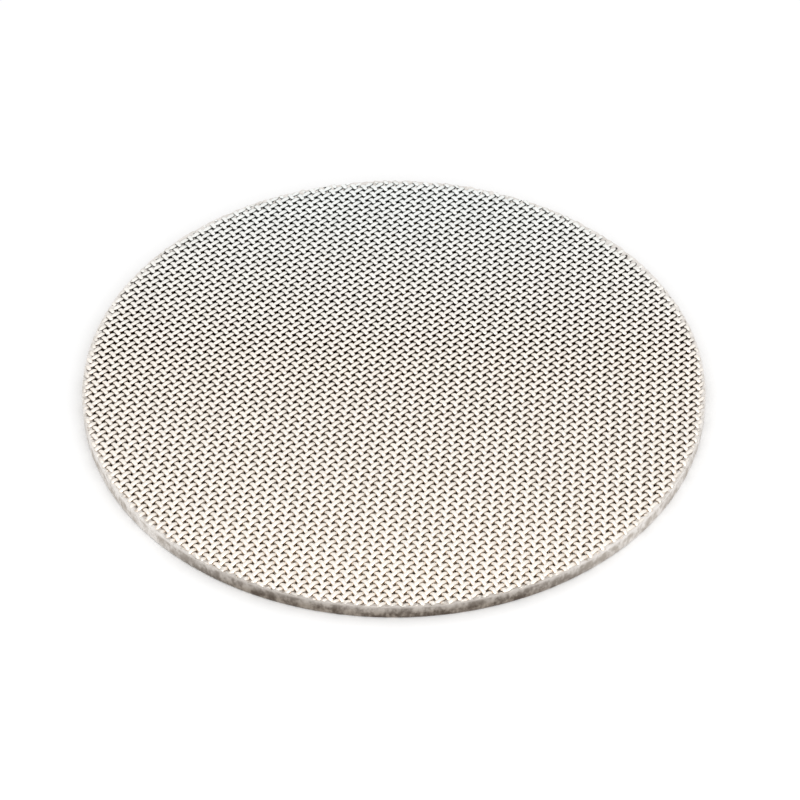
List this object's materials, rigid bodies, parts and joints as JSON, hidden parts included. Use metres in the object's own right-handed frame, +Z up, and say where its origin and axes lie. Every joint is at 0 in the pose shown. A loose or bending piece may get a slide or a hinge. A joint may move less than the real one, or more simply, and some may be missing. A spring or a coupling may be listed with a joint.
{
  "type": "wire mesh filter disc",
  "caption": "Flat round filter disc of woven steel wire layers fused into one plate with a cut edge, laid in a basket or housing to spread and strain liquid.",
  "frame": {"origin": "centre of the underside, in the plane of the flattened wire crowns", "axes": "+Z up through the thickness; X and Y across the disc, with the upper wires running 49.75 degrees clockwise from +X"},
  "size_m": [0.0584, 0.0584, 0.0017],
  "materials": {
    "steel_wire": "satin"
  },
  "bodies": {
    "root": {"mesh_disc": "steel_wire"}
  },
  "joints": []
}
